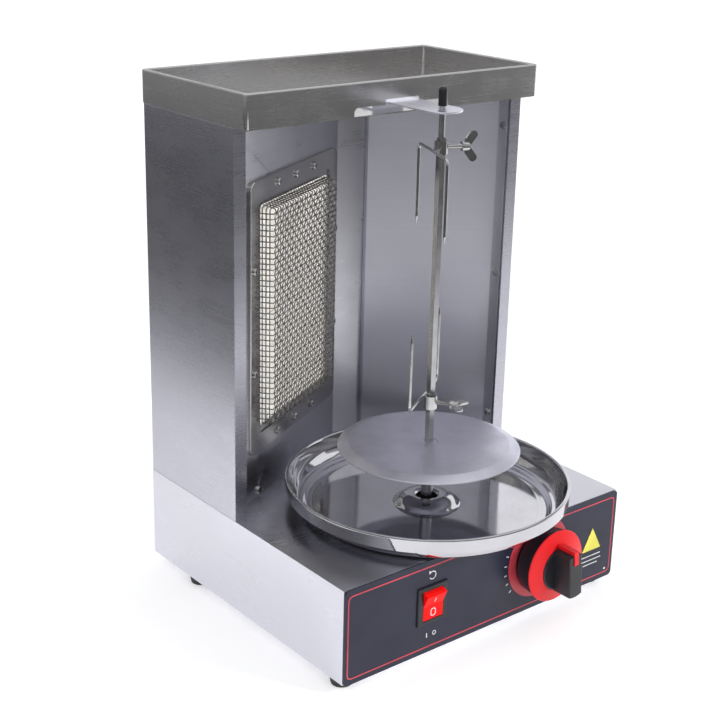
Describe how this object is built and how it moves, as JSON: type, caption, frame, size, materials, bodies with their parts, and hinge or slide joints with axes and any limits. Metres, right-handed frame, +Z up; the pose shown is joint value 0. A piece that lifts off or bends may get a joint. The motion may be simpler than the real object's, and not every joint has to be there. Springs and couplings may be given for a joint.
{
  "type": "vertical rotisserie oven",
  "caption": "Table-top vertical rotisserie oven: slanted gas burner, motor-driven spit with forks over a drip pan, tray on top, base box with rocker switch and gas knob.",
  "frame": {"origin": "on the surface that the feet stand on, in the middle of the whole object's outline", "axes": "+Z up, +Y to the rear, +X to the user's right as the user faces the control fascia"},
  "size_m": [0.302, 0.3348, 0.4386],
  "materials": {
    "brushed_stainless": "satin brushed",
    "polished_stainless": "mirror polished",
    "disc_steel": "dull circular brushed",
    "bar_steel": "drawn",
    "plated_steel": "bright plated",
    "burner_steel": "pressed, slightly heat-tinted",
    "mesh_wire": "woven wire",
    "burner_ceramic": "matt",
    "black_rubber": "matt",
    "fascia_paint": "satin charcoal",
    "black_plastic": "satin",
    "red_plastic": "gloss",
    "brass_fittings": "machined",
    "aluminium_pipe": "drawn"
  },
  "bodies": {
    "chassis": {"base_shell": "brushed_stainless", "base_floor": "brushed_stainless", "rubber_feet": "black_rubber", "foot_screws": "plated_steel", "floor_screws": "plated_steel", "control_fascia": "fascia_paint", "switch_bezel": "black_plastic", "switch_terminals": "brass_fittings", "valve_body": "brass_fittings", "valve_spring": "plated_steel", "burner_pipe": "aluminium_pipe", "supply_pipe": "aluminium_pipe", "gas_jet": "brass_fittings", "jet_bracket": "brushed_stainless", "gas_inlet": "brass_fittings", "power_gland": "black_plastic", "motor_case": "burner_steel", "motor_bracket": "brushed_stainless", "motor_screws": "plated_steel", "left_side_panel": "brushed_stainless", "right_side_panel": "brushed_stainless", "back_cover": "brushed_stainless", "cover_screws": "plated_steel", "burner_wall": "brushed_stainless", "right_reflector": "brushed_stainless", "reflector_screws": "plated_steel", "top_plate": "brushed_stainless", "tray_rim": "brushed_stainless", "spit_bracket": "brushed_stainless", "bracket_screws": "plated_steel", "burner_frame": "burner_steel", "burner_mesh": "mesh_wire", "ceramic_plates": "burner_ceramic", "burner_plenum": "burner_steel", "mixing_tube": "burner_steel", "burner_screws": "plated_steel"},
    "drive": {"motor_shaft": "bar_steel", "drive_socket": "bar_steel"},
    "spit": {"spit_shaft": "bar_steel", "spit_cap": "black_rubber", "meat_disc": "disc_steel", "spit_hub": "bar_steel"},
    "upper_fork": {"upper_fork": "plated_steel"},
    "upper_wing_screw": {"upper_wing_screw": "plated_steel"},
    "lower_fork": {"lower_fork": "plated_steel"},
    "lower_wing_screw": {"lower_wing_screw": "plated_steel"},
    "pan": {"drip_pan": "polished_stainless"},
    "valve_stem": {"valve_stem": "brass_fittings"},
    "knob": {"knob_body": "black_plastic", "knob_ring": "red_plastic", "knob_pointer": "red_plastic"},
    "rocker": {"switch_rocker": "red_plastic"}
  },
  "joints": [
    {"name": "motor_spin", "type": "hinge", "parent": "chassis", "child": "drive", "pos_m": [0, -0.0451, 0.074], "axis": [0, 0, 1], "continuous": true},
    {"name": "spit_lift", "type": "slide", "parent": "drive", "child": "spit", "axis": [0, 0, 1], "range_m": [0, 0.014]},
    {"name": "upper_fork_slide", "type": "slide", "parent": "spit", "child": "upper_fork", "axis": [0, 0, 1], "range_m": [-0.1, 0]},
    {"name": "upper_wing_turn", "type": "hinge", "parent": "upper_fork", "child": "upper_wing_screw", "pos_m": [0, -0.0451, 0.3915], "axis": [0.9205, -0.3907, 0], "range_deg": [0, 360]},
    {"name": "lower_fork_slide", "type": "slide", "parent": "spit", "child": "lower_fork", "axis": [0, 0, 1], "range_m": [-0.02, 0.06]},
    {"name": "lower_wing_turn", "type": "hinge", "parent": "lower_fork", "child": "lower_wing_screw", "pos_m": [0, -0.0451, 0.18], "axis": [0.5358, -0.8443, 0], "range_deg": [0, 360]},
    {"name": "pan_lift", "type": "slide", "parent": "chassis", "child": "pan", "axis": [0, 0, 1], "range_m": [0, 0.015]},
    {"name": "knob_push", "type": "slide", "parent": "chassis", "child": "valve_stem", "axis": [0, 1, 0], "range_m": [0, 0.003], "stiffness_N_per_m": 1500},
    {"name": "knob_turn", "type": "hinge", "parent": "valve_stem", "child": "knob", "pos_m": [0.056, -0.1246, 0.054], "axis": [0, -1, 0], "range_deg": [0, 210]},
    {"name": "rocker_tip", "type": "hinge", "parent": "chassis", "child": "rocker", "pos_m": [-0.0629, -0.1236, 0.051], "axis": [-1, 0, 0], "range_deg": [0, 24]}
  ]
}
